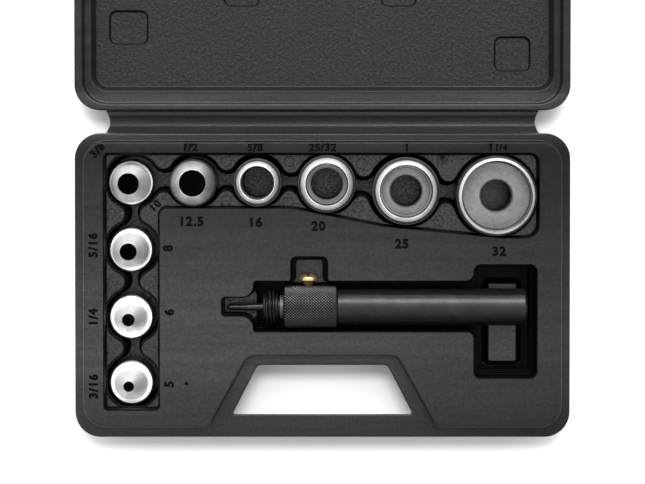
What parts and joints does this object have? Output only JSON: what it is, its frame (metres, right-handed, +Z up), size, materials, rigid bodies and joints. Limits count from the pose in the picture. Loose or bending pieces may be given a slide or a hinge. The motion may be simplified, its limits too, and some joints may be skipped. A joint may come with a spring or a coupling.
{
  "type": "hollow punch kit",
  "caption": "Set of screw-on hollow punch heads with a knurled driving mandrel, in an open hinged black moulded case with fitted wells.",
  "frame": {"origin": "under the middle of the hinge web, on the plane the open case rests on", "axes": "+X along the hinge to the right, +Y from the base half to the lid half, +Z up"},
  "size_m": [0.233, 0.2972, 0.0363],
  "materials": {
    "case_plastic": "fine-grained blow-moulded black polyethylene",
    "punch_steel": "bright turned cutting bevels over dark oxided sides, with small rust specks",
    "black_steel": "black oxide, satin",
    "spring_steel": "plain wire",
    "brass": "bright turned, slightly tarnished"
  },
  "bodies": {
    "case_base": {"base_outer_shell": "case_plastic", "base_tray": "case_plastic"},
    "web": {"hinge_web": "case_plastic"},
    "lid": {"lid_outer_shell": "case_plastic", "lid_inner_panel": "case_plastic"},
    "head_5mm": {"punch_head_5mm": "punch_steel"},
    "head_6mm": {"punch_head_6mm": "punch_steel"},
    "head_8mm": {"punch_head_8mm": "punch_steel"},
    "head_10mm": {"punch_head_10mm": "punch_steel"},
    "head_12_5mm": {"punch_head_12_5mm": "punch_steel"},
    "head_16mm": {"punch_head_16mm": "punch_steel"},
    "head_20mm": {"punch_head_20mm": "punch_steel"},
    "head_25mm": {"punch_head_25mm": "punch_steel"},
    "head_32mm": {"punch_head_32mm": "punch_steel"},
    "mandrel": {"mandrel_body": "black_steel", "threaded_nose": "black_steel", "pin_spring": "spring_steel"},
    "pin": {"centre_pin": "black_steel"},
    "screw": {"brass_screw": "brass"}
  },
  "joints": [
    {"name": "lid_fold", "type": "hinge", "parent": "web", "child": "lid", "pos_m": [0, 0.0046, 0.0199], "axis": [1, 0, 0], "range_deg": [0, 90]},
    {"name": "web_fold", "type": "hinge", "parent": "case_base", "child": "web", "pos_m": [0, -0.0046, 0.0199], "axis": [1, 0, 0], "range_deg": [0, 90]},
    {"name": "head_5mm_lift", "type": "slide", "parent": "case_base", "child": "head_5mm", "axis": [0, 0, -1], "range_m": [-0.03, 0]},
    {"name": "head_6mm_lift", "type": "slide", "parent": "case_base", "child": "head_6mm", "axis": [0, 0, -1], "range_m": [-0.03, 0]},
    {"name": "head_8mm_lift", "type": "slide", "parent": "case_base", "child": "head_8mm", "axis": [0, 0, -1], "range_m": [-0.03, 0]},
    {"name": "head_10mm_lift", "type": "slide", "parent": "case_base", "child": "head_10mm", "axis": [0, 0, -1], "range_m": [-0.03, 0]},
    {"name": "head_12_5mm_lift", "type": "slide", "parent": "case_base", "child": "head_12_5mm", "axis": [0, 0, -1], "range_m": [-0.03, 0]},
    {"name": "head_16mm_lift", "type": "slide", "parent": "case_base", "child": "head_16mm", "axis": [0, 0, -1], "range_m": [-0.03, 0]},
    {"name": "head_20mm_lift", "type": "slide", "parent": "case_base", "child": "head_20mm", "axis": [0, 0, -1], "range_m": [-0.03, 0]},
    {"name": "head_25mm_lift", "type": "slide", "parent": "case_base", "child": "head_25mm", "axis": [0, 0, -1], "range_m": [-0.03, 0]},
    {"name": "head_32mm_lift", "type": "slide", "parent": "case_base", "child": "head_32mm", "axis": [0, 0, -1], "range_m": [-0.03, 0]},
    {"name": "mandrel_lift", "type": "slide", "parent": "case_base", "child": "mandrel", "axis": [0, 0, -1], "range_m": [-0.025, 0]},
    {"name": "pin_retract", "type": "slide", "parent": "mandrel", "child": "pin", "axis": [1, 0, 0], "range_m": [0, 0.005], "stiffness_N_per_m": 400, "springref_m": -0.008, "deforming": ["pin_spring"]},
    {"name": "lock_screw_turn", "type": "hinge", "parent": "mandrel", "child": "screw", "pos_m": [-0.0067, -0.0871, 0.0245], "axis": [0, 1, 0], "range_deg": [0, 180]}
  ],
  "couplings": [
    {"joint": "lid_fold", "follows": "web_fold", "ratio": 1}
  ]
}
